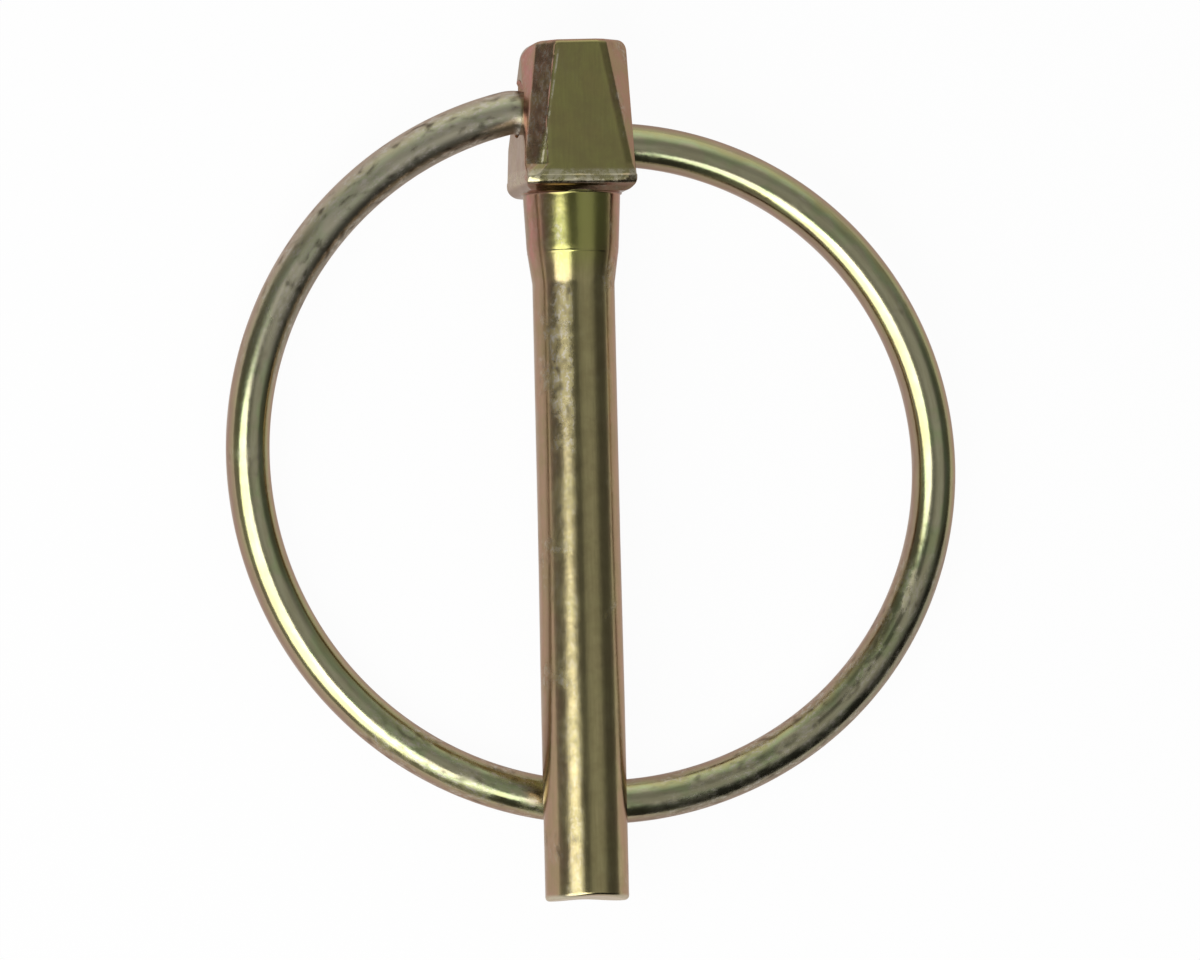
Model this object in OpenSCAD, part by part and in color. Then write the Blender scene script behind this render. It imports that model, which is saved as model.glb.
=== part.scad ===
// Lynch pin: a forged pin with a bevelled head, held by a spring-wire ring that swings over it.
// Each piece is drawn about the pin's own axis, which is Y, with the head towards +Y, its front face
// towards +Z and the shoulder under the head at the origin. The last step lays both down together
// as they come to rest, with the ring on the ground under the shank.

/* [Shank] */
// Diameter of the straight shank
shank_d = 4.5; // [3.5:0.1:6]
// Length from the shoulder to the sheared end
shank_len = 38.95; // [30:0.05:60]
// Diameter of the slightly swollen end, where the ring crosses
swell_d = 4.58; // [3.5:0.02:6.2]
// Length of the swollen end
swell_len = 11; // [9:0.5:14]
// Length over which the shank swells
swell_taper_len = 8.8; // [2:0.2:10]
// Rounding of the sheared end's edge
tip_round = 0.25; // [0.05:0.05:0.8]

/* [Collar] */
// Diameter of the collar against the head
collar_d = 5.32; // [4.6:0.02:6]
// Diameter of the collar at its lower end
collar_end_d = 5.04; // [4.6:0.02:6]
// Length of the collar
collar_len = 3.3; // [1.5:0.05:6]
// Length of the cone from the collar to the shank
cone_len = 1.9; // [0.5:0.1:4]
// Fillet between the collar and the head's underside
shoulder_fillet = 0.1; // [0.05:0.05:0.3]
// How far the head's underside drops from the front lip to the collar
shoulder_drop = 0.3; // [0:0.02:0.4]

/* [Head] */
// Height of the head above the shoulder, at its middle
head_h = 8; // [7:0.1:12]
// Width of the head at its foot, left to right
head_w = 6.12; // [5.6:0.02:10]
// Depth of the head at its foot, front to back
head_d = 6.8; // [5.8:0.1:10]
// Draft of the right side, in degrees
right_draft = 1.1; // [0:0.1:5]
// Draft of the left side, in degrees
left_draft = 2.7; // [0:0.1:5]
// Draft of the front, in degrees
front_draft = 2; // [0:0.5:5]
// Height above the shoulder where the back starts to slope in
ramp_from = 2.4; // [1.5:0.1:5]
// Slope of the upper back, in degrees from upright
ramp_angle = 30; // [10:1:40]
// Slope of the top, rising to the right, in degrees
top_slope = 1; // [0:0.1:5]
// Radius of the top's left corner
left_corner_r = 0.9; // [0.2:0.1:1.2]
// Radius of the top's right corner
right_corner_r = 0.6; // [0.2:0.1:1.2]
// Radius of the top's front edge
top_edge_r = 0.25; // [0.1:0.05:0.8]
// Radius under the front of the head's foot
foot_r = 0.35; // [0.2:0.05:0.6]
// Radius under the sides and the back of the foot
side_foot_r = 0.7; // [0.3:0.05:0.9]
// How far the forging's thin lip stands out round the foot
lip_out = 0.04; // [0.02:0.01:0.2]
// Height of the lip's edge
lip_h = 0.15; // [0.05:0.05:0.5]

/* [Bevels] */
// Leg of the front right bevel at the foot
front_right_foot = 0.45; // [0.2:0.05:1.2]
// Leg of the front right bevel at the top
front_right_top = 1.85; // [0.6:0.05:2.2]
// Leg of the front left bevel at the foot
front_left_foot = 0.85; // [0.4:0.05:1.2]
// Leg of the front left bevel at the top
front_left_top = 1.7; // [0.6:0.05:2.2]
// How far the narrow facet beside the front left bevel is turned in from the side, in degrees
facet_turn = 14; // [8:1:20]
// How deep that facet cuts into the corner at the top
facet_cut = 0.35; // [0.1:0.05:0.5]
// Height above the shoulder where that facet starts
facet_from = 1.5; // [1:0.1:4]
// Leg of the two front bevels in the lip itself
lip_leg = 0.2; // [0.1:0.05:0.4]
// Height over which a front bevel runs out into the lip
run_out = 0.6; // [0.2:0.1:1]
// Leg of the back right bevel
back_right_leg = 0.8; // [0.4:0.05:1.2]
// Leg of the back left bevel
back_left_leg = 0.7; // [0.4:0.05:1.2]

/* [Ring holes] */
// Height of the hinge line's middle above the shoulder
hinge_h = 3.35; // [3:0.05:5]
// How much higher the left hole's mouth is than the right one's
hole_offset = 1.8; // [0.5:0.05:2.4]
// Radial clearance of the wire in its holes
hole_clear = 0.05; // [0.02:0.01:0.1]
// Depth of each hole along its axis, from its mouth
hole_depth = 2.15; // [1.6:0.05:2.4]
// Gap between the wire's end and the hole's floor
end_gap = 0.15; // [0.1:0.05:0.4]
// Depth of the flared mouth
flare_depth = 0.8; // [0.5:0.05:1]
// Radial widening of the flared mouth
flare_out = 0.3; // [0.2:0.05:0.5]

/* [Ring] */
// Diameter of the spring wire
wire_d = 2.4; // [1.8:0.05:2.6]
// Mean diameter of the ring at the wire's centre
ring_d = 37.6; // [34:0.2:44]
// How much each stretch's radius departs from round, from the left end round to the right end
out_of_round = [0, 0.75, 0.43, -1.18, -0.6];
// Heading of the wire where the first stretch ends, in degrees
first_heading = -86.9; // [-92:0.1:-84]
// Turn of each of the three middle stretches, in degrees
middle_turns = [89.1, 31.2, 62.7];
// Bending radius where the wire turns into its hole
bend_r = 1.6; // [1.5:0.1:4]
// How far outside the left mouth the wire turns into line with the hole
left_bend_out = 0.24; // [0.2:0.02:0.8]
// How far outside the right mouth the wire turns into line with the hole
right_bend_out = 0.08; // [0:0.02:0.8]
// Gap between the closed ring and the shank
rest_gap = 0.08; // [0.05:0.01:0.3]

/* [Lying] */
// Tilt of the pin's axis on the ground, tip up, in degrees
lie_pitch = 2.138; // [0:0.001:6]
// Roll about the pin's axis, in degrees
lie_roll = 1.063; // [-4:0.001:4]

/* [Hidden] */
plating = [0.62, 0.60, 0.34];
wire_plating = [0.66, 0.62, 0.42];
wall_fn = 96;
wire_fn = 48;
ring_fn = 240;
corner_steps = 6;
far = 30;
over = 0.01;
// How far a cutter reaches past the wall that it opens, and a bevel past the top
past = 3;
past_top = 1;
// The rounding of the top's front edge stops short of flat, and runs on straight over the top
round_to = 60;
// Every second stretch of wire is a few microns proud, and its neighbours run on into it
proud = 0.004;
run_in = 0.06;

wire_r = wire_d / 2;
hole_r = wire_r + hole_clear;
half_w = head_w / 2;
half_d = head_d / 2;
// The walls start above the lip, and their drafts with them
wall_from = foot_r + lip_h + lip_out;
collar_r = collar_d / 2;
cone_end = collar_len + cone_len;
swell_start = shank_len - swell_len - swell_taper_len;

// How far each wall stands from the pin's axis at a height
function right_wall(y) = half_w - max(0, y - wall_from) * tan(right_draft);
function left_wall(y) = half_w - max(0, y - wall_from) * tan(left_draft);
function front_wall(y) = half_d - max(0, y - wall_from) * tan(front_draft);

// The hinge line runs through both mouths, so it leans by the offset over the distance between them
left_at_mouth = left_wall(hinge_h + hole_offset / 2);
right_at_mouth = right_wall(hinge_h - hole_offset / 2);
hinge_lean = atan(hole_offset / (left_at_mouth + right_at_mouth));
left_mouth = left_at_mouth / cos(hinge_lean);
right_mouth = right_at_mouth / cos(hinge_lean);

// Points of an arc about c, from angle a0 to a1
function arc_points(c, r, a0, a1) =
    [for (i = [0 : corner_steps]) let (a = a0 + (a1 - a0) * i / corner_steps) c + r * [cos(a), sin(a)]];

// One side of the foot, from the underside out to the wall: a rounding, then the thin lip
function foot_points(half, r, drop) = concat(
    arc_points([half - r + lip_out, r - drop], r, -90, 0),
    [[half + lip_out, r - drop + lip_h], [half, r - drop + lip_h + lip_out]]
);
function side_foot(half) = foot_points(half, side_foot_r, shoulder_drop);
// The front of the foot is higher, and slopes down to the collar
front_foot = concat([[collar_r, -shoulder_drop]], foot_points(half_d, foot_r, 0));
function mirrored(points) = [for (i = [len(points) - 1 : -1 : 0]) [-points[i][0], points[i][1]]];

// Centre of the rounding between a wall that leans in by draft and a top that rises outward by slope
function corner_centre(top_wall, draft, slope, r) =
    let (x = top_wall - r * (1 + sin(draft)) / cos(draft))
    [x, head_h + x * tan(slope) - r / cos(slope)];

// The head from the front
module front_outline() {
    right = corner_centre(right_wall(head_h), right_draft, top_slope, right_corner_r);
    left = corner_centre(left_wall(head_h), left_draft, -top_slope, left_corner_r);
    polygon(concat(
        side_foot(half_w),
        arc_points(right, right_corner_r, right_draft, 90 + top_slope),
        mirrored(concat(
            side_foot(half_w),
            arc_points(left, left_corner_r, left_draft, 90 - top_slope)
        ))
    ));
}

// The head from the side, with its front towards +X: a near upright front and a back that slopes in
module side_outline() {
    front = corner_centre(front_wall(head_h), front_draft, 0, top_edge_r);
    peak = head_h + half_w * tan(top_slope) + over;
    rounding = arc_points(front, top_edge_r, front_draft, round_to);
    last = rounding[corner_steps];
    polygon(concat(
        front_foot,
        rounding,
        [[last[0] - (peak - last[1]) * tan(round_to), peak]],
        mirrored(concat(
            side_foot(half_d),
            [[half_d, ramp_from], [half_d - (peak - ramp_from) * tan(ramp_angle), peak]]
        ))
    ));
}

// How far out a corner's edge is along the diagonal, beside a wall and for a leg
function edge_out(wall, leg) = (half_d + wall - leg) / sqrt(2);

// A front corner's edge from the foot up: next to sharp in the lip, then a bevel that widens upward
function front_edge(foot, top, low_wall, top_wall) =
    let (out = edge_out(top_wall, top))
    [
        [edge_out(half_w, lip_leg), -shoulder_drop - over],
        [edge_out(half_w, lip_leg), wall_from],
        [edge_out(low_wall, foot), wall_from + run_out],
        [out, head_h],
        [out, head_h + past_top]
    ];

// A back corner's edge: a bevel of one width that follows the wall and then the slope
function back_edge(leg, low_wall, top_wall) = [
    [edge_out(half_w, leg), -shoulder_drop - over],
    [edge_out(low_wall, leg), ramp_from],
    [edge_out(top_wall, leg + (head_h + past_top - ramp_from) * tan(ramp_angle)), head_h + past_top]
];

// How far the left facet is from the axis at a height: nothing at its foot, deepest at the top
function facet_corner(wall, leg) = wall * cos(facet_turn) + (half_d - leg) * sin(facet_turn);
function facet_out(y) =
    let (foot = facet_corner(left_wall(facet_from), front_left_foot))
    let (top = facet_corner(left_wall(head_h), front_left_top) - facet_cut)
    foot + (top - foot) * (y - facet_from) / (head_h - facet_from);

// Everything to the right of the left facet
module right_of_facet() {
    low = -shoulder_drop - over;
    high = head_h + past_top;
    rotate([0, facet_turn, 0])
        linear_extrude(2 * far, center = true)
        polygon([[far, low], [far, high], [-facet_out(high), high], [-facet_out(low), low]]);
}

// Everything inside the bevels of two corners that lie across from each other
module corner_pair(right, left) {
    linear_extrude(2 * far, center = true) polygon(concat(right, mirrored(left)));
}

module head_block() {
    bevelled = wall_from + run_out;
    intersection() {
        linear_extrude(2 * far, center = true) front_outline();
        rotate([0, -90, 0]) linear_extrude(2 * far, center = true) side_outline();
        rotate([0, -45, 0]) corner_pair(
            front_edge(front_right_foot, front_right_top, right_wall(bevelled), right_wall(head_h)),
            back_edge(back_left_leg, left_wall(ramp_from), left_wall(head_h + past_top))
        );
        rotate([0, 45, 0]) corner_pair(
            back_edge(back_right_leg, right_wall(ramp_from), right_wall(head_h + past_top)),
            front_edge(front_left_foot, front_left_top, left_wall(bevelled), left_wall(head_h))
        );
        right_of_facet();
    }
}

// Collar, cone, shank and sheared end, turned about the pin's axis
module round_part() {
    end_r = swell_d / 2;
    // The collar starts inside the head, short of the holes
    sunk = foot_r;
    rounding = [for (i = [0 : corner_steps]) let (a = 90 * i / corner_steps)
        [end_r - tip_round + tip_round * cos(a), -shank_len + tip_round - tip_round * sin(a)]];
    rotate([-90, 0, 0])
        rotate_extrude($fn = wall_fn)
        polygon(concat(
            [
                [0, sunk],
                [collar_r + shoulder_fillet, sunk],
                [collar_r + shoulder_fillet, -shoulder_drop + shoulder_fillet],
                [collar_r, -shoulder_drop - shoulder_fillet],
                [collar_end_d / 2, -collar_len],
                [shank_d / 2, -cone_end],
                [shank_d / 2, -swell_start],
                [end_r, -swell_start - swell_taper_len]
            ],
            rounding,
            [[0, -shank_len]]
        ));
}

// Places its children on the hinge line, with +X running down it to the right
module on_hinge() {
    translate([0, hinge_h, 0]) rotate([0, 0, -hinge_lean]) children();
}

// A blind hole with a flared mouth, along +X
module wire_hole(mouth) {
    rotate([0, 90, 0]) {
        translate([0, 0, mouth - hole_depth]) cylinder(r = hole_r, h = hole_depth + past, $fn = wire_fn);
        translate([0, 0, mouth - flare_depth])
            cylinder(r1 = hole_r, r2 = hole_r + 2 * flare_out, h = 2 * flare_depth, $fn = wire_fn);
    }
}

module pin_solid() {
    difference() {
        union() {
            head_block();
            round_part();
        }
        on_hinge() wire_hole(right_mouth);
        on_hinge() rotate([0, 0, 180]) wire_hole(left_mouth);
    }
}

// The ring's flat path about the hinge line's middle
along = [cos(hinge_lean), -sin(hinge_lean)];
down = [-sin(hinge_lean), -cos(hinge_lean)];
radii = [for (d = out_of_round) ring_d / 2 + d];
heads = [
    first_heading,
    first_heading + middle_turns[0],
    first_heading + middle_turns[0] + middle_turns[1],
    first_heading + middle_turns[0] + middle_turns[1] + middle_turns[2]
];
function out_dir(h) = [sin(h), -cos(h)];
// Centres of the five stretches, counted from the first one's centre
steps = [for (i = [0 : 3]) (radii[i] - radii[i + 1]) * out_dir(heads[i])];
shift = [[0, 0], steps[0], steps[0] + steps[1], steps[0] + steps[1] + steps[2],
    steps[0] + steps[1] + steps[2] + steps[3]];

// Where two circles cross, on the side away from the head
function cross_point(a, ra, b, rb) =
    let (d = norm(b - a), u = (b - a) / d, t = (d * d + ra * ra - rb * rb) / (2 * d))
    let (v = [u[1], -u[0]], h = sqrt(ra * ra - t * t))
    a + t * u + h * v;

// The first and last stretches, carried on, cross the hinge line just outside the mouths
left_cross = -along * (left_mouth + left_bend_out);
right_cross = along * (right_mouth + right_bend_out);
first_centre = cross_point(left_cross, radii[0], right_cross - shift[4], radii[4]);
centres = [for (s = shift) first_centre + s];

// The bends that bring both ends into the hinge line
function along_of(p) = p * along;
function down_of(p) = p * down;
left_bend_at = along_of(centres[0]) - sqrt(pow(radii[0] - bend_r, 2) - pow(down_of(centres[0]) - bend_r, 2));
left_bend_centre = along * left_bend_at + down * bend_r;
right_bend_at = along_of(centres[4]) - sqrt(pow(radii[4] + bend_r, 2) - pow(down_of(centres[4]) + bend_r, 2));
right_bend_centre = along * right_bend_at - down * bend_r;
function angle_of(v) = atan2(v[1], v[0]);

// Polar angles where the first stretch starts and the last one ends
stub_heading = 180 - hinge_lean;
first_polar = angle_of(left_bend_centre - centres[0]);
first_start = first_polar < 0 ? first_polar + 360 : first_polar;
last_end = angle_of(right_bend_centre - centres[4]);
starts = [first_start - 360, heads[0] - 90, heads[1] - 90, heads[2] - 90, heads[3] - 90];
ends = [heads[0] - 90, heads[1] - 90, heads[2] - 90, heads[3] - 90, last_end];

// One stretch of wire about c, run on at both ends by a length
module wire_arc(c, r, a0, a1, wire, run_on) {
    more = run_on / r * 180 / PI;
    translate([c[0], c[1], 0])
        rotate([0, 0, a0 - more])
        rotate_extrude(angle = a1 - a0 + 2 * more, $fn = ring_fn)
        translate([r, 0])
        circle(r = wire, $fn = wire_fn);
}

// A stretch of the wire's own size, which runs on into its neighbours
module plain_stretch(c, r, a0, a1) {
    wire_arc(c, r, a0, a1, wire_r, run_in);
}

// A stretch that is a few microns proud, and ends where it meets its neighbours
module proud_stretch(c, r, a0, a1) {
    wire_arc(c, r, a0, a1, wire_r + proud, 0);
}

// A straight end in its hole, from its inner end out into the bend, along +X
module wire_stub(mouth, bend_at) {
    inner = mouth - hole_depth + end_gap;
    length = bend_at + run_in - inner;
    rotate([0, 90, 0]) translate([0, 0, inner]) cylinder(r = wire_r, h = length, $fn = wire_fn);
}

// How far the closed ring swings back from flat, so that it clears the shank where it crosses
crossing = -(centres[1][1] - sqrt(pow(radii[1], 2) - pow(centres[1][0], 2))) * cos(hinge_lean);
close_angle = asin((swell_d / 2 + wire_r + rest_gap) / crossing);

module ring_solid() {
    translate([0, hinge_h, 0])
        rotate([0, 0, -hinge_lean])
        rotate([close_angle, 0, 0]) {
            rotate([0, 0, hinge_lean]) {
                for (i = [0, 2, 4]) plain_stretch(centres[i], radii[i], starts[i], ends[i]);
                for (i = [1, 3]) proud_stretch(centres[i], radii[i], starts[i], ends[i]);
                proud_stretch(left_bend_centre, bend_r, stub_heading - 90, first_start);
                proud_stretch(right_bend_centre, bend_r, stub_heading - 270, last_end - 180);
            }
            wire_stub(right_mouth, right_bend_at);
            rotate([0, 0, 180]) wire_stub(left_mouth, -left_bend_at);
        }
}

// The back's lowest corner, where it starts to slope, and the ring touch the ground, and the origin
// is under the middle
left_reach = centres[1][0] - radii[1];
right_reach = centres[3][0] + radii[3];
low_corner = [right_wall(ramp_from) - back_right_leg, ramp_from, -half_d];
turned_down = low_corner[2] * cos(lie_roll) - low_corner[0] * sin(lie_roll);
rest_at = [
    -(left_reach + right_reach) / 2,
    (shank_len - head_h) / 2,
    low_corner[1] * sin(lie_pitch) - turned_down * cos(lie_pitch)
];

module lay_down() {
    translate(rest_at) rotate([-lie_pitch, 0, 0]) rotate([0, lie_roll, 0]) children();
}

module forged_pin() {
    color(plating) lay_down() pin_solid();
}

module spring_ring() {
    color(wire_plating) lay_down() ring_solid();
}

forged_pin();
spring_ring();
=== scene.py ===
"""Lynch pin: the dressed model, its white floor, its light and its camera.

The pin and its ring are built in millimetres in the pin's own frame, where Y runs up the pin from
the shoulder under the head, +Z is the front face and X is to the right. They are then laid down as
the part lies at rest, in metres. Their sizes are those of the solid part, which lacks only the
collar's fine bead, the head's eased edges, burr and dents, and the wave of the sheared end.
"""

from math import asin, atan, atan2, cos, degrees, inf, pi, radians, sin, sqrt, tan

import bmesh
import bpy
import numpy as np
from mathutils import Matrix, Vector, noise


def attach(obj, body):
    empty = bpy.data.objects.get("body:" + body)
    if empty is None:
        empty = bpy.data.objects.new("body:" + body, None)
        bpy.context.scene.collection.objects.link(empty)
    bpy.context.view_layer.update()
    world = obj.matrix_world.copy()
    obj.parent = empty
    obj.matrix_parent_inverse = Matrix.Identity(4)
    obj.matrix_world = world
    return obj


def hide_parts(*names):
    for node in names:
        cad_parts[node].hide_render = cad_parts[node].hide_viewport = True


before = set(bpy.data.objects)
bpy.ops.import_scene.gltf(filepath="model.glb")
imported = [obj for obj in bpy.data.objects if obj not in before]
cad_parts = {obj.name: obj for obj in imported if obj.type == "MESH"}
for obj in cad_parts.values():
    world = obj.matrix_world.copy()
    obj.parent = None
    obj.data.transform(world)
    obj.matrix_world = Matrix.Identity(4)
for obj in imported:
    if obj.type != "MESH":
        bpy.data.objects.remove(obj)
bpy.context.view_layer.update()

MM = 0.001

# How the part lies: the tip's tilt up, the roll, and where the shoulder is
LIE_PITCH = radians(2.138)
LIE_ROLL = radians(1.063)
SHOULDER = Vector((-1.1086, 15.475, 3.5278))

# Shank and collar
SHANK_R = 2.25
SHANK_LEN = 38.95
SWELL_R = 2.29
SWELL_FROM = 19.15
SWELL_TO = 27.95
TIP_ROUND = 0.25
COLLAR_R = 2.66
COLLAR_END_R = 2.52
COLLAR_LEN = 3.3
COLLAR_BEAD = 0.01
CONE_END = 5.2

# Head
HEAD_H = 8.0
HALF_W = 3.06
HALF_D = 3.4
RIGHT_DRAFT = radians(1.1)
LEFT_DRAFT = radians(2.7)
FRONT_DRAFT = radians(2.0)
RAMP_FROM = 2.4
RAMP = radians(30)
TOP_SLOPE = radians(1.0)
LEFT_CORNER_R = 0.9
RIGHT_CORNER_R = 0.6
TOP_EDGE_R = 0.25
BACK_EDGE_R = 0.2

# The head's foot: roundings, the thin lip above them and the drop to the collar
FOOT_R = 0.35
SIDE_FOOT_R = 0.7
SHOULDER_DROP = 0.3
FILLET = 0.1
LIP_H = 0.15
LIP_OUT = 0.04
WALL_FROM = FOOT_R + LIP_H + LIP_OUT

# Bevels: legs at the foot and at the top
RIGHT_BEVEL = (0.45, 1.85)
LEFT_BEVEL = (0.85, 1.7)
BACK_RIGHT_LEG = 0.8
BACK_LEFT_LEG = 0.7
LIP_LEG = 0.2
RUN_OUT = 0.6
FACET_TURN = radians(14)
FACET_CUT = 0.35
FACET_FROM = 1.5
EASED_AT = 67.5
EASED_CUT = 0.10
FLASH_AT = 112.5
FLASH_TOP = 3.4
FLASH_CUT = 0.16
BURR_WIDE = 0.06

# Dents and beads on the front lip: place across, half-width and height
LIP_BEADS = (
    (-0.2, 0.16, 0.05),
    (2.45, 0.2, 0.05),
    (-2.9, 0.2, 0.05),
    (1.0, 0.4, -0.03),
    (-1.5, 0.5, -0.02),
)

# Ring and its holes
HINGE_H = 3.35
HOLE_OFFSET = 1.8
HOLE_R = 1.25
HOLE_DEPTH = 2.15
END_GAP = 0.15
FLARE_DEPTH = 0.8
FLARE_OUT = 0.3
WIRE_R = 1.2
WIRE_END_R = 0.18
SKIN_INSET = 0.001
RING_R = 18.8
OUT_OF_ROUND = (0, 0.75, 0.43, -1.18, -0.6)
FIRST_HEADING = -86.9
MIDDLE_TURNS = (89.1, 31.2, 62.7)
BEND_R = 1.6
LEFT_BEND_OUT = 0.24
RIGHT_BEND_OUT = 0.08
REST_GAP = 0.08

# Fineness of the two meshes
SEGMENT_COLUMNS = 32
EDGE_SHARPNESS = 160
LEAST_TURN = 0.01
WIRE_COLUMNS = 60
WIRE_STEP = 0.2

# Camera: how the photograph looks at the pin, and its frame at the pin's depth
VIEW_ROLL = radians(10.95)
VIEW_PITCH = radians(4.0)
IMAGE_TURN = radians(1.3)
PX_PER_MM = 18.267
IMAGE_W = 1200
IMAGE_H = 960
SHOULDER_PX = (571.3, 189.5)
CAMERA_FAR = 900.0
SENSOR_W = 36.0

# Light: the room's own, then the places in it that are lighter or darker. A place is where a
# surface facing (right, up) in the photograph mirrors it, full within one angle, gone beyond another
ROOM_LIGHT = 0.34
ROOM_LEAST = 0.03
ROOM_TINT = (1.0, 1.0, 0.97)
ROOM_PLACES = (
    ((0.0, 0.72), 15, 64, 0.82),
    ((0.30, -0.05), 8, 26, 0.14),
    ((0.62, 0.0), 8, 27, -0.22),
    ((0.30, -0.52), 26, 46, -0.30),
    ((-0.40, 0.26), 14, 38, -0.19),
    ((0.01, 0.06), 6, 14, -0.21),
    ((0.60, -0.42), 14, 34, -0.22),
)
LAMP_FAR = 0.30
FLOOR_HALF = 2.0
FLOOR_MATT = (0.8, 0.8, 0.8)
FLOOR_SEEN = 0.96
FLOOR_MIRRORED = 0.5

# Colours of the film, from faces that look sideways or along the pin (0) to the front and back (1)
SHANK_FILM = (
    (0.02, (0.42, 0.35, 0.29)),
    (0.22, (0.40, 0.26, 0.19)),
    (0.62, (0.40, 0.27, 0.17)),
    (0.80, (0.43, 0.36, 0.19)),
    (1.00, (0.43, 0.38, 0.19)),
)
HEAD_FILM = (
    (0.06, (0.32, 0.26, 0.21)),
    (0.24, (0.48, 0.22, 0.20)),
    (0.74, (0.33, 0.20, 0.13)),
    (0.92, (0.36, 0.32, 0.13)),
    (1.00, (0.36, 0.34, 0.13)),
)
WIRE_FILM = (
    (0.05, (0.42, 0.36, 0.32)),
    (0.30, (0.34, 0.23, 0.18)),
    (0.58, (0.38, 0.29, 0.19)),
    (0.80, (0.38, 0.37, 0.18)),
    (0.93, (0.38, 0.43, 0.24)),
    (1.00, (0.44, 0.42, 0.28)),
)
COLLAR_FILM = (0.35, 0.36, 0.11)
DRAWN_SHADE = (0.24, 0.20, 0.10)
CLOUD_SHADE = (0.30, 0.25, 0.12)
BARE_ZINC = (0.50, 0.46, 0.39)
RUBBED = (0.62, 0.58, 0.45)
# A dark colour painted as shade on the wire's side that faces right and down the pin
PAINTED_SIDE_SHADE = (0.24, 0.22, 0.18)
# The dark colour of stained pits, also used to paint shade under the head
DIRT_AND_SHADE = (0.07, 0.055, 0.04)
GLANCING_TINT = (0.86, 0.74, 0.68)

# Gloss and relief
PIN_GLOSS = 0.15
WIRE_GLOSS = 0.12
CLOUD_ROUGH = 0.05
WORN_ROUGH = 0.2
RUBBED_DULL = 1.4
STAIN = 0.85
RELIEF = 0.006

# Where the pin is worn: heights above the shoulder, and how far a place faces right or, less
# than nothing, left
STREAK_STARTS = (-17.0, -10.0)
STREAK_ENDS = (-6.0, -4.5)
STREAK_FACING = (-0.66, -0.28)
COLLAR_FACING = (-0.2, -0.4)
BEVEL_FACING = (-0.78, -0.55)
EDGE_SPAN = (1.4, 7.2)
EDGE_BAND = (-0.06, -0.01)
FOOT_SPAN = (0.3, 0.85)

LAY = Matrix.Rotation(-LIE_PITCH, 3, "X") @ Matrix.Rotation(LIE_ROLL, 3, "Y")


def laid(p):
    """A point of the pin's frame, in mm, where it lies at rest, in metres."""
    return (LAY @ Vector(p) + SHOULDER) * MM


def new_object(name, verts, faces):
    mesh = bpy.data.meshes.new(name)
    mesh.from_pydata([tuple(laid(v)) for v in verts], [], faces)
    mesh.update()
    obj = bpy.data.objects.new(name, mesh)
    bpy.context.scene.collection.objects.link(obj)
    return obj


def tube_faces(rows, cols, first=0):
    """Faces between rows of points that run round a tube."""
    faces = []
    for i in range(rows - 1):
        for j in range(cols):
            k = (j + 1) % cols
            a = first + i * cols
            b = a + cols
            faces.append((a + j, b + j, b + k, a + k))
    return faces


def face_outwards(obj):
    mesh = bmesh.new()
    mesh.from_mesh(obj.data)
    bmesh.ops.recalc_face_normals(mesh, faces=mesh.faces)
    mesh.to_mesh(obj.data)
    mesh.free()


def apply_modifiers(obj):
    bpy.context.view_layer.update()
    graph = bpy.context.evaluated_depsgraph_get()
    mesh = bpy.data.meshes.new_from_object(obj.evaluated_get(graph))
    obj.modifiers.clear()
    obj.data = mesh


def smooth(obj, angle):
    for polygon in obj.data.polygons:
        polygon.use_smooth = True
    obj.data.set_sharp_from_angle(angle=radians(angle))


# The head's walls and bevels, each by how far it stands from the pin's axis at a height

def right_wall(y):
    return HALF_W - max(0, y - WALL_FROM) * tan(RIGHT_DRAFT)


def left_wall(y):
    return HALF_W - max(0, y - WALL_FROM) * tan(LEFT_DRAFT)


def front_wall(y):
    return HALF_D - max(0, y - WALL_FROM) * tan(FRONT_DRAFT)


def back_wall(y):
    return HALF_D - max(0, y - RAMP_FROM) * tan(RAMP)


def edge_out(wall, leg):
    """A 45 degree bevel beside a wall, for a leg measured from the head's full depth."""
    return (HALF_D + wall - leg) / sqrt(2)


def front_bevel(y, wall, legs):
    """A front bevel: next to sharp in the lip, then wider and wider to the top."""
    low = WALL_FROM + RUN_OUT
    heights = (WALL_FROM, low, HEAD_H)
    outs = (edge_out(HALF_W, LIP_LEG), edge_out(wall(low), legs[0]), edge_out(wall(HEAD_H), legs[1]))
    return float(np.interp(y, heights, outs))


def back_bevel(y, wall, leg):
    return edge_out(wall(y), leg + max(0, y - RAMP_FROM) * tan(RAMP))


def left_facet(y):
    """The narrow facet between the front left bevel and the left side, deepest at the top."""
    def corner(height, leg):
        return left_wall(height) * cos(FACET_TURN) + (HALF_D - leg) * sin(FACET_TURN)
    foot = corner(FACET_FROM, LEFT_BEVEL[0])
    top = corner(HEAD_H, LEFT_BEVEL[1]) - FACET_CUT
    return foot + (top - foot) * (y - FACET_FROM) / (HEAD_H - FACET_FROM)


def top_inset(y, radius):
    """How far a wall has drawn in where its edge rounds over into the top."""
    into = max(0.0, y - (HEAD_H - radius))
    return radius - sqrt(max(0.0, radius * radius - into * into))


def foot_inset(y, radius, drop):
    """How far a wall has drawn in at its foot; less than nothing where the lip stands out."""
    lip_low = radius - drop
    lip_top = lip_low + LIP_H
    if y >= lip_low:
        return -LIP_OUT * float(np.interp(y, (lip_top, lip_top + LIP_OUT), (1, 0)))
    share = min(1.0, (lip_low - y) / radius)
    return radius * (1 - sqrt(1 - share * share)) - LIP_OUT


def front_inset(y):
    """The front of the foot is higher, and slopes down from there to the collar."""
    if y >= 0:
        return foot_inset(y, FOOT_R, 0)
    at_zero = FOOT_R - LIP_OUT
    return at_zero + (HALF_D - COLLAR_R - at_zero) * -y / SHOULDER_DROP


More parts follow.
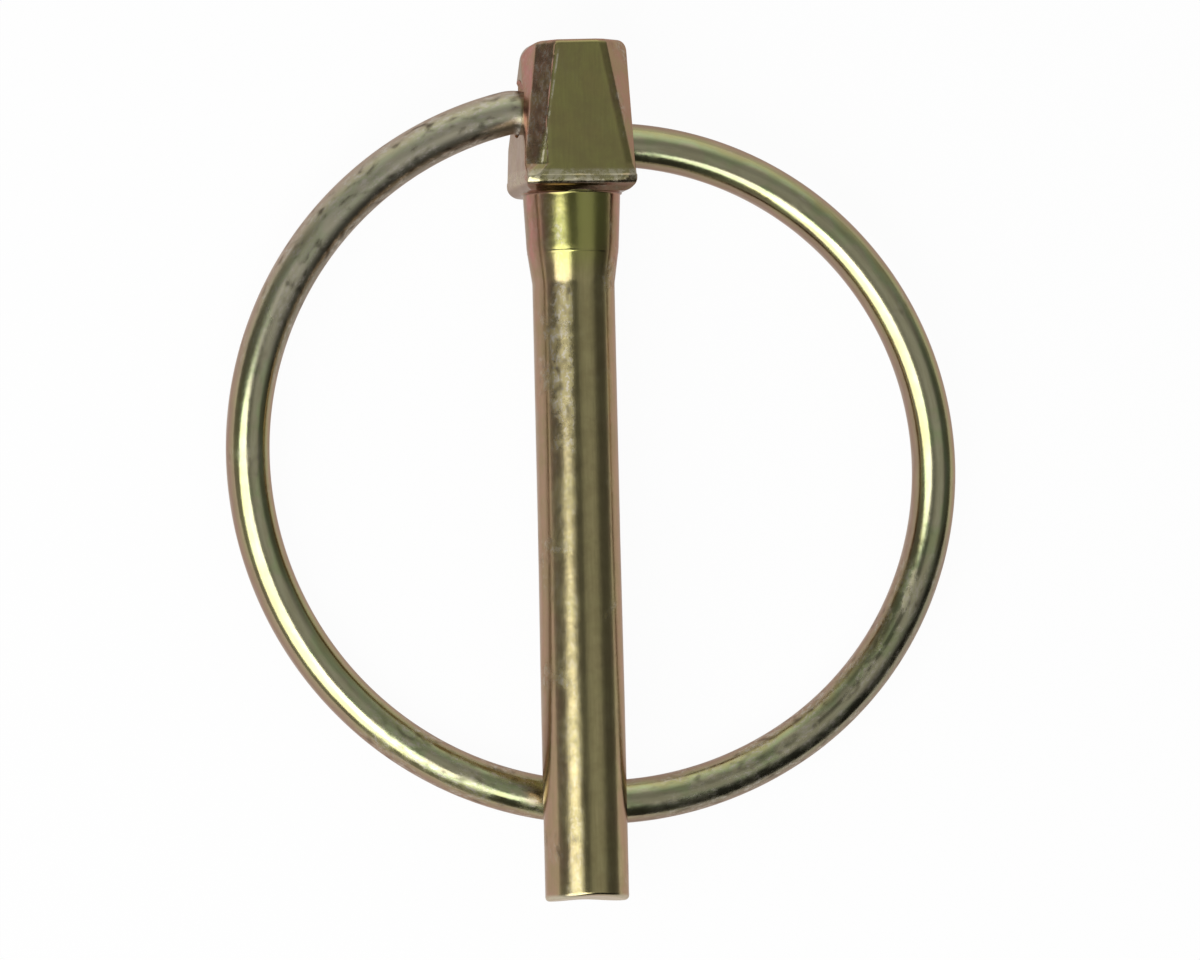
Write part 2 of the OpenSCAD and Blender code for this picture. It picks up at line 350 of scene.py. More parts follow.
def head_planes(y):
    """Every wall and bevel at a height: the way it faces round the pin, and its distance out."""
    side = foot_inset(y, SIDE_FOOT_R, SHOULDER_DROP)
    front = front_inset(y)
    corner_in = max(0.0, 0.45 * (side + front))
    back_corner_in = max(0.0, 0.9 * side)
    planes = [
        (0, right_wall(y) - side - top_inset(y, RIGHT_CORNER_R)),
        (45, front_bevel(y, right_wall, RIGHT_BEVEL) - corner_in - top_inset(y, TOP_EDGE_R)),
        (90, front_wall(y) - front - top_inset(y, TOP_EDGE_R)),
        (135, front_bevel(y, left_wall, LEFT_BEVEL) - corner_in - top_inset(y, TOP_EDGE_R)),
        (180, left_wall(y) - side - top_inset(y, LEFT_CORNER_R)),
        (225, back_bevel(y, left_wall, BACK_LEFT_LEG) - back_corner_in - top_inset(y, BACK_EDGE_R)),
        (270, back_wall(y) - side - top_inset(y, BACK_EDGE_R)),
        (315, back_bevel(y, right_wall, BACK_RIGHT_LEG) - back_corner_in - top_inset(y, BACK_EDGE_R)),
    ]
    flash = FLASH_CUT * min(1.0, max(0.0, (FLASH_TOP - y) / (FLASH_TOP - WALL_FROM)))
    add_cut(planes, 1, EASED_AT, EASED_CUT)
    add_cut(planes, 3, FLASH_AT, flash)
    add_cut(planes, 5, 180 - degrees(FACET_TURN), 0, left_facet(y))
    return planes


def meeting(a, b):
    """Where two walls of a section meet, each given as the way it faces and its distance."""
    (fa, da), (fb, db) = a, b
    ta, tb = radians(fa), radians(fb)
    across = sin(tb - ta)
    return ((da * sin(tb) - db * sin(ta)) / across, (db * cos(ta) - da * cos(tb)) / across)


def add_cut(planes, before, facing, depth, out=inf):
    """Cut the corner after a wall, by a depth or at a distance out, and always touch it."""
    x, z = meeting(planes[before], planes[before + 1])
    turn = radians(facing)
    reach = x * cos(turn) + z * sin(turn) - 0.004
    planes.insert(before + 1, (facing, min(reach - depth, out)))


def burr_height(y):
    """The thin ridge of pressed-out metal along the front face's left edge."""
    if not WALL_FROM < y < HEAD_H - TOP_EDGE_R:
        return 0.0
    wander = noise.noise(Vector((0.0, y * 1.9, 3.7))) + 0.5 * noise.noise(Vector((5.1, y * 6.0, 0.0)))
    return 0.035 + 0.05 * max(-0.5, wander)


def lip_nick(x):
    """How far the front lip stands out more, or less, where it is beaded or dented."""
    return sum(high * np.exp(-((x - at) / wide) ** 2) for at, wide, high in LIP_BEADS)


def edge_turns(about):
    """The angles at which the section's edges stand, and the first one again, in order."""
    edges = [meeting(about[i - 1], about[i]) for i in range(len(about))]
    turns = np.unwrap([atan2(z, x) for x, z in edges])
    # Where a bevel has vanished its two edges cross, and they still keep their order
    for i in range(1, len(turns)):
        turns[i] = max(turns[i], turns[i - 1] + LEAST_TURN)
    return np.append(turns, turns[0] + 2 * pi)


def head_row(y):
    """The points round the head at a height, with as many between every two edges."""
    planes = head_planes(y)
    middle = (front_wall(y) - back_wall(y)) / 2
    about = [(facing, out - middle * sin(radians(facing))) for facing, out in planes]
    turns = edge_turns(about)
    t = np.arange(SEGMENT_COLUMNS) / SEGMENT_COLUMNS
    eased = 0.35 * t + 0.65 * t * t * (3 - 2 * t)
    angles = np.concatenate([a + (b - a) * eased for a, b in zip(turns, turns[1:])])
    total = np.zeros_like(angles)
    for facing, out in about:
        towards = np.clip(np.cos(angles - radians(facing)), 0, None)
        total += (towards / max(out, 0.05)) ** EDGE_SHARPNESS
    radius = total ** (-1 / EDGE_SHARPNESS)
    burr_at = turns[[facing for facing, out in planes].index(FLASH_AT)]
    radius = radius + burr_height(y) * np.exp(-((angles - burr_at) * radius / BURR_WIDE) ** 2)
    x = radius * np.cos(angles)
    z = middle + radius * np.sin(angles)
    return np.c_[x, np.full_like(x, y), z]


def round_row(angles, radius, y):
    return np.c_[radius * np.cos(angles), np.full_like(angles, y), radius * np.sin(angles)]


def around(row):
    """The angle and the radius of each point of a row."""
    return np.arctan2(row[:, 2], row[:, 0]), np.hypot(row[:, 0], row[:, 2])


def shrunk(row, share, middle):
    return np.c_[row[:, 0] * share, row[:, 1], middle + (row[:, 2] - middle) * share]


def head_rows():
    """From the middle of the top out to its edge, and down the walls to the shoulder's height."""
    top = head_row(HEAD_H)
    middle = (front_wall(HEAD_H) - back_wall(HEAD_H)) / 2
    low = WALL_FROM + RUN_OUT
    rows = [shrunk(top, share, middle) for share in np.linspace(0.08, 0.97, 10)]
    for turn in np.linspace(90, 0, 18):
        rows.append(head_row(HEAD_H - LEFT_CORNER_R * (1 - sin(radians(turn)))))
    for y in np.linspace(HEAD_H - LEFT_CORNER_R - 0.1, low + 0.1, 54):
        rows.append(head_row(y))
    for y in np.linspace(low, 0.02, 26):
        rows.append(head_row(y))
    return rows


def foot_rows():
    """The foot's underside, drawn in to the fillet where the collar leaves it."""
    neck = COLLAR_R + FILLET
    rows = []
    for turn in np.linspace(0, 89, 9):
        y = -SHOULDER_DROP * sin(radians(turn))
        angles, radius = around(head_row(y))
        rows.append(round_row(angles, np.maximum(radius, neck), y))
    angles, radius = around(rows[-1])
    for share in (0.6, 0.3, 0.08):
        rows.append(round_row(angles, neck + (radius - neck) * share, -SHOULDER_DROP))
    for turn in np.linspace(0, 90, 6):
        out = COLLAR_R + FILLET * (1 - sin(radians(turn)))
        rows.append(round_row(angles, out, -SHOULDER_DROP - FILLET * (1 - cos(radians(turn)))))
    return rows


def shank_rows(angles):
    """Collar, cone and shank, with rows close together where the outline turns, and the tip."""
    start = -SHOULDER_DROP - FILLET - 0.1
    profile_y = (-SHANK_LEN, -SWELL_TO, -SWELL_FROM, -CONE_END, -COLLAR_LEN, start)
    profile_r = (SWELL_R, SWELL_R, SHANK_R, SHANK_R, COLLAR_END_R, COLLAR_R)
    heights = np.concatenate([
        np.linspace(start, -COLLAR_LEN + 0.15, 9),
        np.linspace(-COLLAR_LEN + 0.08, -COLLAR_LEN - 0.06, 4),
        np.linspace(-COLLAR_LEN - 0.1, -COLLAR_LEN - 0.34, 13),
        np.linspace(-COLLAR_LEN - 0.45, -CONE_END + 0.25, 7),
        np.linspace(-CONE_END + 0.15, -CONE_END - 0.2, 5),
        np.linspace(-CONE_END - 0.5, -SHANK_LEN + TIP_ROUND + 0.05, 62),
    ])
    rows = [round_row(angles, softened(y, profile_y, profile_r), y) for y in heights]
    for turn in np.linspace(0, 90, 7):
        out = SWELL_R - TIP_ROUND * (1 - cos(radians(turn)))
        rows.append(round_row(angles, out, -SHANK_LEN + TIP_ROUND * (1 - sin(radians(turn)))))
    for share in np.linspace(0.9, 0.08, 8):
        rows.append(round_row(angles, (SWELL_R - TIP_ROUND) * share, -SHANK_LEN))
    return rows


def softened(y, heights, radii):
    """The turned profile's radius, its kinks a little rounded, with a fine bead under the collar."""
    bead = COLLAR_BEAD * np.exp(-((y + COLLAR_LEN + 0.22) / 0.05) ** 2)
    return float(np.mean(np.interp(y + np.linspace(-0.12, 0.12, 9), heights, radii)) + bead)


def weathered(points):
    """The top's slope, the front lip's dents and the sheared end's wave."""
    p = points.copy()
    x, y, z = points.T
    p[:, 1] += x * tan(TOP_SLOPE) * np.clip(y / HEAD_H, 0, 1) ** 3
    on_lip = np.exp(-((y - FOOT_R - LIP_H / 2) / 0.14) ** 2) * (z > HALF_D * 0.85)
    p[:, 2] += on_lip * lip_nick(x)
    sheared = np.clip((-y - (SHANK_LEN - 1.0)) / 1.0, 0, 1)
    across = x / SWELL_R
    wave = 0.17 * (1 - across ** 2) + 0.02 * across - 0.045 + 0.02 * np.sin(5 * across + 1)
    p[:, 1] += sheared * wave
    return p


def hole_cutter(name, out, mouth):
    """A blind hole with a flared mouth, as a closed solid along a line from the hinge's middle."""
    out = Vector(out).normalized()
    side = out.cross(Vector((0, 0, 1))).normalized()
    up = out.cross(side)
    middle = Vector((0, HINGE_H, 0))
    profile = [(mouth - HOLE_DEPTH, HOLE_R), (mouth - FLARE_DEPTH, HOLE_R)]
    for t in (0.35, 0.6, 0.8, 0.95, 1.1, 1.3):
        profile.append((mouth - FLARE_DEPTH * (1 - t), HOLE_R + FLARE_OUT * t * t))
    profile.append((mouth + 2.5, profile[-1][1]))
    steps = 64
    verts = [middle + out * profile[0][0]]
    for along, r in profile:
        for k in range(steps):
            a = 2 * pi * k / steps
            verts.append(middle + out * along + (side * cos(a) + up * sin(a)) * r)
    verts.append(middle + out * profile[-1][0])
    faces = tube_faces(len(profile), steps, 1)
    last = len(verts) - 1
    for k in range(steps):
        n = (k + 1) % steps
        faces.append((0, 1 + k, 1 + n))
        faces.append((last, last - steps + n, last - steps + k))
    cutter = new_object(name, verts, faces)
    face_outwards(cutter)
    return cutter


def make_pin():
    rows = head_rows() + foot_rows()
    rows += shank_rows(around(rows[-1])[0])
    cols = len(rows[0])
    top = np.array([[0, HEAD_H, (front_wall(HEAD_H) - back_wall(HEAD_H)) / 2]])
    end = np.array([[0, -SHANK_LEN, 0]])
    points = weathered(np.vstack([top] + rows + [end]))
    faces = tube_faces(len(rows), cols, 1)
    last = len(points) - 1
    for k in range(cols):
        n = (k + 1) % cols
        faces.append((0, 1 + k, 1 + n))
        faces.append((last, last - cols + n, last - cols + k))
    pin = new_object("pin_forging", points, faces)
    face_outwards(pin)
    lean = hinge_lean()
    right = (cos(lean), -sin(lean), 0)
    left = (-cos(lean), sin(lean), 0)
    for name, out, mouth in (("cut_right", right, right_mouth()), ("cut_left", left, left_mouth())):
        cutter = hole_cutter(name, out, mouth)
        cut = pin.modifiers.new(name, "BOOLEAN")
        cut.operation = "DIFFERENCE"
        cut.solver = "EXACT"
        cut.object = cutter
        apply_modifiers(pin)
        bpy.data.objects.remove(cutter)
    smooth(pin, 35)
    return pin


# The ring's path

def hinge_lean():
    left = left_wall(HINGE_H + HOLE_OFFSET / 2)
    right = right_wall(HINGE_H - HOLE_OFFSET / 2)
    return atan(HOLE_OFFSET / (left + right))


def left_mouth():
    return left_wall(HINGE_H + HOLE_OFFSET / 2) / cos(hinge_lean())


def right_mouth():
    return right_wall(HINGE_H - HOLE_OFFSET / 2) / cos(hinge_lean())


def crossing(a, ra, b, rb):
    """Where two circles cross, on the side away from the head."""
    d = float(np.linalg.norm(b - a))
    u = (b - a) / d
    t = (d * d + ra * ra - rb * rb) / (2 * d)
    return a + t * u + sqrt(ra * ra - t * t) * np.array([u[1], -u[0]])


def arc(centre, r, start, stop, step):
    """Points of an arc, without its last one."""
    count = max(3, int(abs(radians(stop - start)) * r / step))
    turns = np.radians(np.linspace(start, stop, count, endpoint=False))
    return centre + r * np.c_[np.cos(turns), np.sin(turns)]


def bearing(v):
    return degrees(atan2(v[1], v[0]))


def ring_path():
    """The flat centreline about the hinge line's middle, its axes, and how far it swings back."""
    lean = hinge_lean()
    along = np.array([cos(lean), -sin(lean)])
    down = np.array([-sin(lean), -cos(lean)])
    radii = [RING_R + d for d in OUT_OF_ROUND]
    heads = [FIRST_HEADING]
    for turn in MIDDLE_TURNS:
        heads.append(heads[-1] + turn)
    shift = [np.zeros(2)]
    for i, heading in enumerate(heads):
        out = np.array([sin(radians(heading)), -cos(radians(heading))])
        shift.append(shift[-1] + (radii[i] - radii[i + 1]) * out)
    left_cross = -along * (left_mouth() + LEFT_BEND_OUT)
    right_cross = along * (right_mouth() + RIGHT_BEND_OUT)
    first = crossing(left_cross, radii[0], right_cross - shift[4], radii[4])
    centres = [first + s for s in shift]
    # Each bend touches the hinge line and its own end of the ring
    c, r = centres[0], radii[0]
    left_at = c @ along - sqrt((r - BEND_R) ** 2 - (c @ down - BEND_R) ** 2)
    left_bend = along * left_at + down * BEND_R
    c, r = centres[4], radii[4]
    right_at = c @ along - sqrt((r + BEND_R) ** 2 - (c @ down + BEND_R) ** 2)
    right_bend = along * right_at - down * BEND_R
    start = bearing(left_bend - centres[0]) % 360 - 360
    stop = bearing(right_bend - centres[4])
    starts = [start] + [h - 90 for h in heads]
    ends = [h - 90 for h in heads] + [stop]
    stub = 180 - degrees(lean)
    left_end = -(left_mouth() - HOLE_DEPTH + END_GAP)
    right_end = right_mouth() - HOLE_DEPTH + END_GAP
    parts = [np.outer(np.linspace(left_end, left_at, 12, endpoint=False), along)]
    parts.append(arc(left_bend, BEND_R, stub - 90, start + 360, 0.08))
    for c, r, a, b in zip(centres, radii, starts, ends):
        parts.append(arc(c, r, a, b, WIRE_STEP))
    parts.append(arc(right_bend, BEND_R, stop - 180, stub - 270, 0.08))
    parts.append(np.outer(np.linspace(right_at, right_end, 13), along))
    low = -(centres[1][1] - sqrt(radii[1] ** 2 - centres[1][0] ** 2)) * cos(lean)
    close = asin((SWELL_R + WIRE_R + REST_GAP) / low)
    return np.vstack(parts), along, down, close


def make_ring():
    flat, along, down, close = ring_path()
    along3 = np.r_[along, 0]
    swung = np.r_[down, 0] * cos(close) + np.array([0, 0, -1.0]) * sin(close)
    path = np.outer(flat @ along, along3) + np.outer(flat @ down, swung)
    path[:, 1] += HINGE_H
    normal = np.cross(along3, swung)
    tangent = np.gradient(path, axis=0)
    tangent /= np.linalg.norm(tangent, axis=1)[:, None]
    side = np.cross(tangent, normal)
    length = np.r_[0, np.cumsum(np.linalg.norm(np.diff(path, axis=0), axis=1))]
    skin_r = WIRE_R - SKIN_INSET
    verts = []
    for p, s, along_wire in zip(path, side, length):
        to_end = min(along_wire, length[-1] - along_wire)
        inset = max(0, WIRE_END_R - to_end)
        r = skin_r - WIRE_END_R + sqrt(WIRE_END_R ** 2 - inset ** 2)
        for a in np.linspace(0, 2 * pi, WIRE_COLUMNS, endpoint=False):
            verts.append(p + (s * cos(a) + normal * sin(a)) * r)
    faces = tube_faces(len(path), WIRE_COLUMNS)
    faces.append(tuple(range(WIRE_COLUMNS - 1, -1, -1)))
    faces.append(tuple((len(path) - 1) * WIRE_COLUMNS + k for k in range(WIRE_COLUMNS)))
    ring = new_object("ring_wire", verts, faces)
    along_wire_uv(ring, length)
    face_outwards(ring)
    smooth(ring, 40)
    return ring


def along_wire_uv(ring, length):
    """Millimetres along the wire, and turns round it, for the drawn streaks."""
    layer = ring.data.uv_layers.new(name="wire")
    for polygon in ring.data.polygons:
        spots = [ring.data.loops[i].vertex_index % WIRE_COLUMNS for i in polygon.loop_indices]
        wraps = max(spots) - min(spots) > WIRE_COLUMNS / 2
        for i, spot in zip(polygon.loop_indices, spots):
            row = ring.data.loops[i].vertex_index // WIRE_COLUMNS
            turn = spot + (WIRE_COLUMNS if wraps and spot < WIRE_COLUMNS / 2 else 0)
            layer.data[i].uv = (length[row], turn / WIRE_COLUMNS)


# Materials

class Nodes:
    """A node tree, with the few kinds of node that the materials and the light are made of."""

    def __init__(self, tree):
        self.tree = tree

    def add(self, kind, **inputs):
        node = self.tree.nodes.new(kind)
        for key, value in inputs.items():
            self.feed(node.inputs[key], value)
        return node

    def feed(self, socket, value):
        if isinstance(value, bpy.types.NodeSocket):
            self.tree.links.new(value, socket)
        elif isinstance(value, tuple) and len(value) == 3 and socket.type == "RGBA":
            socket.default_value = (*value, 1)
        else:
            socket.default_value = value

    def noise(self, coords, scale, detail=3.0, roughness=0.55, distortion=0.0):
        node = self.add("ShaderNodeTexNoise", Vector=coords, Scale=scale, Detail=detail)
        node.inputs["Roughness"].default_value = roughness
        node.inputs["Distortion"].default_value = distortion
        return node.outputs["Fac"]

    def stretch(self, coords, scale):
        return self.add("ShaderNodeMapping", Vector=coords, Scale=scale).outputs["Vector"]

    def range(self, value, low, high, to_low=0.0, to_high=1.0):
        node = self.add("ShaderNodeMapRange", Value=value)
        node.interpolation_type = "SMOOTHSTEP"
        node.inputs["From Min"].default_value = low
        node.inputs["From Max"].default_value = high
        node.inputs["To Min"].default_value = to_low
        node.inputs["To Max"].default_value = to_high
        return node.outputs["Result"]

    def math(self, operation, a, b):
        node = self.tree.nodes.new("ShaderNodeMath")
        node.operation = operation
        self.feed(node.inputs[0], a)
        self.feed(node.inputs[1], b)
        return node.outputs["Value"]

    def product(self, *values):
        result = values[0]
        for value in values[1:]:
            result = self.math("MULTIPLY", result, value)
        return result

    def most(self, *values):
        result = values[0]
        for value in values[1:]:
            result = self.math("MAXIMUM", result, value)
        return result

    def band(self, value, low, high, fade):
        """One between two values, and nothing beyond them."""
        above = self.range(value, low - fade, low)
        return self.product(above, self.range(value, high, high + fade, 1.0, 0.0))

    def mix(self, share, a, b):
        node = self.tree.nodes.new("ShaderNodeMix")
        node.data_type = "RGBA"
        self.feed(node.inputs["Factor"], share)
        self.feed(node.inputs[6], a)
        self.feed(node.inputs[7], b)
        return node.outputs[2]

    def ramp(self, value, stops):
        node = self.add("ShaderNodeValToRGB", Fac=value)
        elements = node.color_ramp.elements
        while len(elements) < len(stops):
            elements.new(0.5)
        for element, (at, colour) in zip(elements, stops):
            element.position = at
            element.color = (*colour, 1)
        return node.outputs["Color"]


class Plating(Nodes):
    """Yellow chromate over zinc.

    The film is thin and pinkish on the narrow sides and olive gold on the broad faces. It clouds
    over a few millimetres, and is worn to dull grey zinc in mottled places.
    """

    def __init__(self, name):
        self.material = bpy.data.materials.new(name)
        self.material.use_nodes = True
        super().__init__(self.material.node_tree)
        self.shader = self.tree.nodes["Principled BSDF"]
        self.coords = self.tree.nodes.new("ShaderNodeTexCoord")
        self.at = self.stretch(self.coords.outputs["Object"], (1 / MM, 1 / MM, 1 / MM))
        place = self.add("ShaderNodeSeparateXYZ", Vector=self.at)
        self.across, self.up = place.outputs["X"], place.outputs["Y"]
        facing = self.add("ShaderNodeSeparateXYZ", Vector=self.coords.outputs["Normal"])
        self.sideways, self.endways, self.upright = [facing.outputs[k] for k in ("X", "Y", "Z")]
        self.cloud = self.noise(self.at, 0.45, 3)
        broad = self.math("ABSOLUTE", self.upright, 0.0)
        self.film = self.math("ADD", broad, self.range(self.cloud, 0.3, 0.7, -0.08, 0.08))

    def finish(self, colour, worn, dull, painted_shade, gloss, lines, blotches):
        """Wear and dull the film where told, darken it with stained pits and with painted shade where
        told, and give the surface its gloss and relief.
        """
        grain = self.noise(blotches, 2.0, 8, 0.8)
        mottle = self.noise(blotches, 1.0, 8, 0.75)
        specks = self.range(self.math("ADD", grain, mottle), 1.00, 1.14)
        pits = self.range(self.math("SUBTRACT", grain, mottle), 0.0, 0.10)
        colour = self.mix(self.product(specks, worn), colour, BARE_ZINC)
        # Stained pits where worn, and painted shade where the caller asks for it, both in the dark
        # dirt colour
        colour = self.mix(self.most(self.product(pits, worn, STAIN), painted_shade), colour, DIRT_AND_SHADE)
        self.feed(self.shader.inputs["Base Color"], colour)
        self.feed(self.shader.inputs["Metallic"], 1.0)
        self.feed(self.shader.inputs["Specular Tint"], GLANCING_TINT)
        rough = self.range(self.cloud, 0.3, 0.7, gloss, gloss + CLOUD_ROUGH)
        rough = self.math("ADD", rough, self.product(self.most(dull, worn), WORN_ROUGH))
        self.feed(self.shader.inputs["Roughness"], rough)
        height = self.math("ADD", self.product(lines, 0.5), self.product(grain, 0.6))
        height = self.math("ADD", height, self.product(self.noise(self.at, 1.6, 2), 1.6))
        bump = self.add("ShaderNodeBump", Height=height, Strength=0.6, Distance=RELIEF * MM)
        self.feed(self.shader.inputs["Normal"], bump.outputs["Normal"])
        return self.material


def front_left_edge(s):
    """How far a point stands, in mm, to the right of the edge between front face and left bevel."""
    low = laid((LEFT_BEVEL[0] - left_wall(WALL_FROM + RUN_OUT), WALL_FROM + RUN_OUT, HALF_D)) / MM
    high = laid((LEFT_BEVEL[1] - left_wall(HEAD_H), HEAD_H, front_wall(HEAD_H))) / MM
    slope = (high.x - low.x) / (high.y - low.y)
    edge = s.math("ADD", s.product(s.up, slope), low.x - slope * low.y)
    return s.math("SUBTRACT", s.across, edge)


def pin_film(s, height, lines):
    """Olive on the head, yellower on the front of the collar and browner on the shank."""
    on_head = s.range(height, -CONE_END, -COLLAR_LEN + 0.5)
    colour = s.mix(on_head, s.ramp(s.film, SHANK_FILM), s.ramp(s.film, HEAD_FILM))
    colour = s.mix(s.range(lines, 0.35, 0.65, 0.0, 0.22), colour, DRAWN_SHADE)
    clouded = s.range(s.noise(s.at, 0.8, 5, 0.65), 0.4, 0.65, 0.0, 0.45)
    colour = s.mix(clouded, colour, CLOUD_SHADE)
    below_head = s.range(height, -0.4, 0.0, 0.7, 0.0)
    on_collar = s.product(on_head, below_head, s.range(s.upright, 0.65, 0.9))
    return s.mix(on_collar, colour, COLLAR_FILM)


def pin_worn(s, height):
    """Mottled: a streak down the shank's front left, the left bevel, and a few patches."""
    streak = s.product(
        s.range(height, *STREAK_STARTS, 0.3, 1.0),
        s.range(height, *STREAK_ENDS, 1.0, 0.0),
        s.band(s.sideways, *STREAK_FACING, 0.14),
    )
    collar = s.product(
        s.range(height, -CONE_END, -COLLAR_LEN, 0.0, 0.2),
        s.range(s.sideways, *COLLAR_FACING),
    )
    bevel = s.product(s.range(height, 0.0, 0.3, 0.0, 0.55), s.band(s.sideways, *BEVEL_FACING, 0.1))
    patches = s.product(
        s.range(s.noise(s.at, 0.42, 3, 0.6), 0.52, 0.68, 0.0, 0.6),
        s.range(s.upright, 0.9, 0.97, 1.0, 0.1),
    )
    uneven = s.range(s.noise(s.at, 0.9, 3, 0.6), 0.36, 0.56, 0.25, 1.0)
    return s.product(s.most(streak, bevel, collar, patches), uneven)


def pin_rubbed(s, height):
    """Rubbed bright: the burr beside the front face, the lip at the foot and the tip's rim."""
    edge = s.product(
        s.band(front_left_edge(s), *EDGE_BAND, 0.05),
        s.band(height, *EDGE_SPAN, 0.5),
        s.range(s.noise(s.at, 1.4, 4, 0.7), 0.42, 0.58, 0.1, 0.8),
    )
    foot = s.product(
        s.band(height, *FOOT_SPAN, 0.2),
        s.range(s.noise(s.at, 2.0, 4, 0.7), 0.4, 0.6, 0.15, 0.675),
    )
    tip = s.range(height, -SHANK_LEN + 0.15, -SHANK_LEN + 0.4, 0.8, 0.0)
    return s.most(edge, foot, tip)


def pin_plating():
    """The forging's plating, with its wear on the left and along the foot, and painted shade, in the
    dark dirt colour, under the head.
    """
    s = Plating("pin_plating")
    height = s.math("SUBTRACT", s.up, SHOULDER.y)
    lines = s.noise(s.stretch(s.at, (9.0, 0.35, 9.0)), 1.0, 4, 0.6)
    rubbed = pin_rubbed(s, height)
    colour = s.mix(rubbed, pin_film(s, height, lines), RUBBED)
    # Painted shade: the underside of the head's foot, which faces down the pin, is darkened as though
    # in shadow
    faces_down = s.range(s.endways, -0.6, -0.25, 0.5, 0.0)
    painted_shade_under_head = s.product(faces_down, s.band(height, -0.5, 0.5, 0.2))
    blotches = s.stretch(s.at, (2.8, 1.7, 2.8))
    worn = pin_worn(s, height)
    dull = s.product(rubbed, RUBBED_DULL)
    return s.finish(colour, worn, dull, painted_shade_under_head, PIN_GLOSS, lines, blotches)


def wire_plating():
    """The wire's plating, chafed dull towards the left hole and mottled at the bottom, with painted
    shade on the side that faces right and down the pin.
    """
    s = Plating("wire_plating")
    wire = s.coords.outputs["UV"]
    lines = s.noise(s.stretch(wire, (0.5, 26.0, 1.0)), 1.0, 4, 0.6)
    near_left = s.product(
        s.range(s.across, -22.0, -15.0),
        s.range(s.across, -4.0, -1.0, 1.0, 0.0),
        s.range(s.up, 2.0, 9.0),
    )
    low_right = s.product(s.range(s.across, 0.0, 6.0), s.range(s.up, -8.0, -1.0, 0.8, 0.0))
    low_left = s.product(s.band(s.across, -12.0, 0.0, 3.0), s.range(s.up, -15.0, -11.0, 0.8, 0.0))
    places = s.range(s.noise(s.stretch(wire, (0.5, 7.0, 1.0)), 1.0, 4, 0.65), 0.40, 0.56)
    elsewhere = s.range(s.noise(s.at, 0.4, 3, 0.6), 0.56, 0.72, 0.0, 0.4)
    worn = s.most(s.product(s.most(near_left, low_right, low_left), places), elsewhere)
    drawn = s.range(lines, 0.35, 0.65, 0.0, 0.25)
    colour = s.mix(drawn, s.ramp(s.film, WIRE_FILM), DRAWN_SHADE)
    colour = s.mix(s.product(near_left, 0.4), colour, BARE_ZINC)
    # Painted shade: darker on the side that faces right and down the pin, near the left hole and low
    # on the right
    painted_shade_side = s.range(s.math("SUBTRACT", s.sideways, s.endways), 0.0, 0.6, 0.0, 0.75)
    colour = s.mix(s.product(s.most(near_left, low_right), painted_shade_side), colour, PAINTED_SIDE_SHADE)
    blotches = s.stretch(wire, (1.5, 22.0, 1.0))
    return s.finish(colour, worn, near_left, 0.0, WIRE_GLOSS, lines, blotches)


def dress(obj, body, node, material):
    obj.data.materials.clear()
    obj.data.materials.append(material)
    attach(obj, body)
    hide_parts(node)


# Floor, light and camera

def view_matrix():
    """The turn from the part's frame to the photograph's right, up and towards the camera."""
    turn = (
        Matrix.Rotation(IMAGE_TURN, 3, "Z")
        @ Matrix.Rotation(-VIEW_PITCH, 3, "X")
        @ Matrix.Rotation(VIEW_ROLL, 3, "Y")
    )
    return turn @ LAY.transposed()


def make_floor():
    """White to the camera and, dimmer, in the metal, and matt, so that it keeps the shadow."""
    mesh = bpy.data.meshes.new("floor")
    corners = [(x * FLOOR_HALF, y * FLOOR_HALF, 0) for x, y in ((-1, -1), (1, -1), (1, 1), (-1, 1))]
    mesh.from_pydata(corners, [], [(0, 1, 2, 3)])
    floor = bpy.data.objects.new("floor", mesh)
    bpy.context.scene.collection.objects.link(floor)
    material = bpy.data.materials.new("floor_white")
    material.use_nodes = True
    s = Nodes(material.node_tree)
    s.tree.nodes.clear()
    ray = s.add("ShaderNodeLightPath").outputs
    mirrored = s.most(ray["Is Glossy Ray"], ray["Is Transmission Ray"])
    seen = s.product(ray["Is Camera Ray"], FLOOR_SEEN)
    share = s.math("ADD", seen, s.product(mirrored, FLOOR_MIRRORED))
    matt = s.add("ShaderNodeBsdfDiffuse", Color=FLOOR_MATT)
    glow = s.add("ShaderNodeEmission")
    mix = s.add("ShaderNodeMixShader")
    out = s.add("ShaderNodeOutputMaterial")
    s.feed(mix.inputs[0], share)
    s.feed(mix.inputs[1], matt.outputs[0])
    s.feed(mix.inputs[2], glow.outputs[0])
    s.feed(out.inputs["Surface"], mix.outputs[0])
    mesh.materials.append(material)


def mirrored_way(facing):
    """The direction that a surface facing (right, up) in the photograph mirrors."""
    nx, ny = facing
    nz = sqrt(1 - nx * nx - ny * ny)
    seen = Vector((2 * nz * nx, 2 * nz * ny, 2 * nz * nz - 1))
    return (view_matrix().transposed() @ seen).normalized()


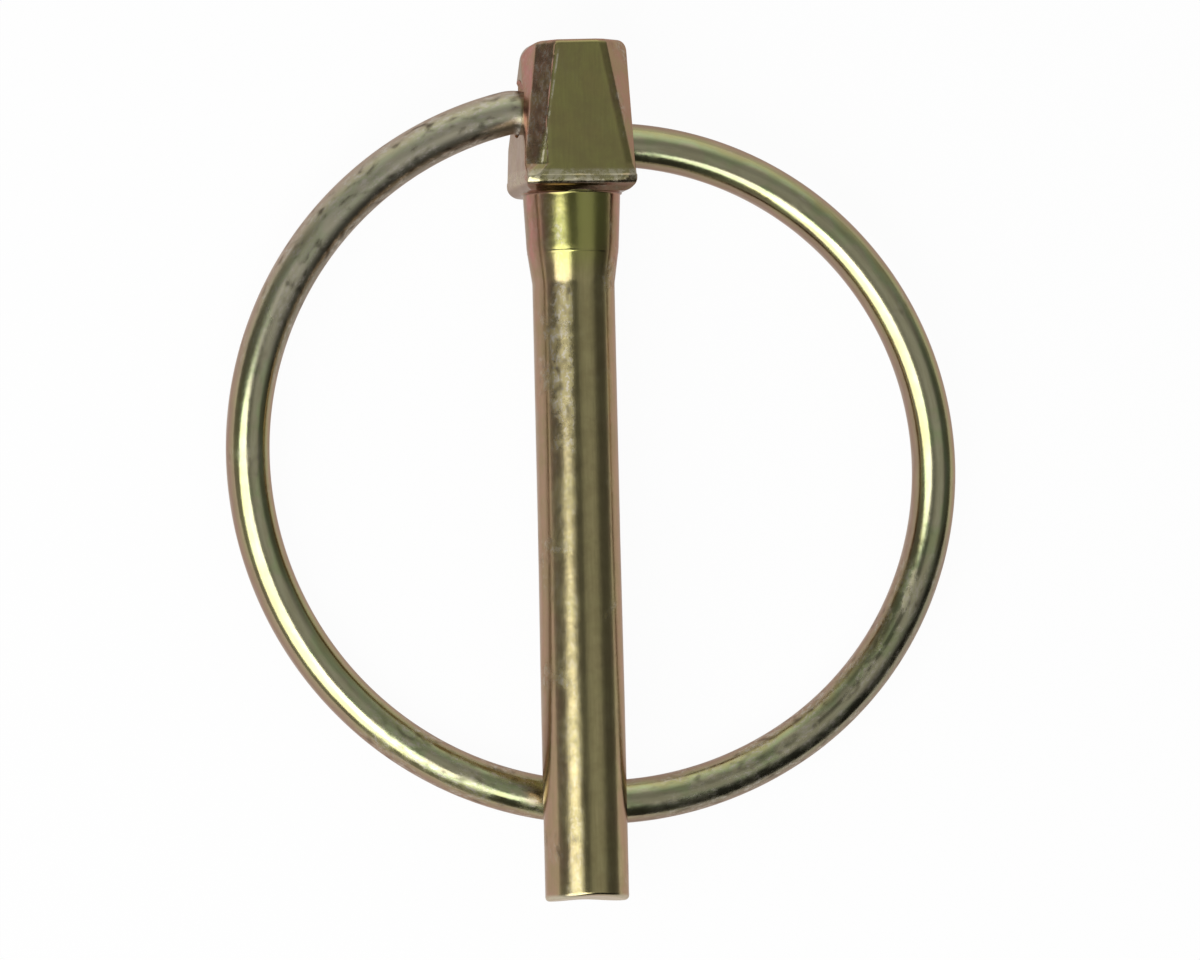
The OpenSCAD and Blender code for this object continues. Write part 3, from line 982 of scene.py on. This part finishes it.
def make_world():
    """A dim room with its lighter and darker places."""
    world = bpy.data.worlds.new("studio")
    bpy.context.scene.world = world
    world.use_nodes = True
    s = Nodes(world.node_tree)
    way = s.add("ShaderNodeTexCoord").outputs["Generated"]
    total = ROOM_LIGHT
    for facing, full, gone, more in ROOM_PLACES:
        dot = s.tree.nodes.new("ShaderNodeVectorMath")
        dot.operation = "DOT_PRODUCT"
        s.feed(dot.inputs[0], way)
        s.feed(dot.inputs[1], mirrored_way(facing))
        place = s.range(dot.outputs["Value"], cos(radians(gone)), cos(radians(full)), 0.0, more)
        total = s.math("ADD", place, total)
    background = s.tree.nodes["Background"]
    s.feed(background.inputs["Strength"], s.most(total, ROOM_LEAST))
    s.feed(background.inputs["Color"], ROOM_TINT)


def softbox(name, facing, half_wide, half_high, radiance):
    """An oval lamp where a surface facing (right, up) mirrors it, turned to the part."""
    out = mirrored_way(facing)
    data = bpy.data.lights.new(name, "AREA")
    data.shape = "ELLIPSE"
    data.size = 2 * LAMP_FAR * tan(half_wide)
    data.size_y = 2 * LAMP_FAR * tan(half_high)
    data.energy = radiance * pi * pi * data.size * data.size_y / 4
    lamp = bpy.data.objects.new(name, data)
    bpy.context.scene.collection.objects.link(lamp)
    side = Vector((0, 1, 0)).cross(out).normalized()
    basis = Matrix((side, out.cross(side), out)).transposed()
    lamp.matrix_world = Matrix.Translation(out * LAMP_FAR) @ basis.to_4x4()


def make_camera():
    data = bpy.data.cameras.new("camera")
    camera = bpy.data.objects.new("camera", data)
    bpy.context.scene.collection.objects.link(camera)
    to_world = view_matrix().transposed()
    right = (IMAGE_W / 2 - SHOULDER_PX[0]) / PX_PER_MM
    up = (SHOULDER_PX[1] - IMAGE_H / 2) / PX_PER_MM
    place = to_world @ Vector((right, up, CAMERA_FAR)) + SHOULDER
    camera.matrix_world = Matrix.Translation(place * MM) @ to_world.to_4x4()
    data.sensor_fit = "HORIZONTAL"
    data.sensor_width = SENSOR_W
    data.lens = SENSOR_W * CAMERA_FAR / (IMAGE_W / PX_PER_MM)
    data.clip_start = 0.01
    bpy.context.scene.camera = camera


pin = make_pin()
ring = make_ring()
dress(pin, "pin", "forged_pin", pin_plating())
dress(ring, "ring", "spring_ring", wire_plating())
make_floor()
make_world()
softbox("key", (-0.22, -0.205), radians(26), radians(29.5), 3.1)
softbox("low", (0.0, -0.28), radians(14), radians(14), 2.6)
make_camera()
bpy.context.scene.view_settings.view_transform = "Standard"
